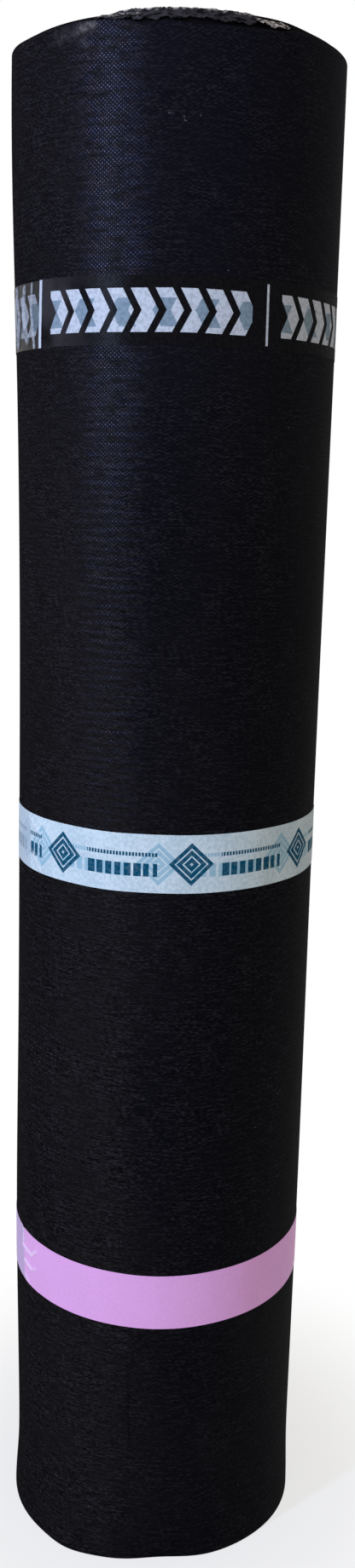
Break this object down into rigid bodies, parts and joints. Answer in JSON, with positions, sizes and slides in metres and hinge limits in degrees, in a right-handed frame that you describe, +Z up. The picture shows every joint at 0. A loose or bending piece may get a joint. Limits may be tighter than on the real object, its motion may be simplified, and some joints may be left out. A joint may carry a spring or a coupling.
{
  "type": "roll of roofing felt",
  "caption": "Bitumen roofing sheet wound tight round an open bore, its turns showing on both ends, stood upright and held shut by bands of printed and plain tape.",
  "frame": {"origin": "middle of the foot, on the floor and on the bore's axis", "axes": "+Z up the bore, -Y towards the front, +X to the right of someone who faces the front"},
  "size_m": [0.2041, 0.2015, 1],
  "materials": {
    "felt": "matt bitumen with a fine embossed weave",
    "black_film": "glossy printed film",
    "white_film": "pale printed film",
    "pink_film": "plain lilac-pink film"
  },
  "bodies": {
    "root": {"felt_roll": "felt", "black_tape": "black_film", "white_tape": "white_film", "pink_tape": "pink_film"}
  },
  "joints": []
}
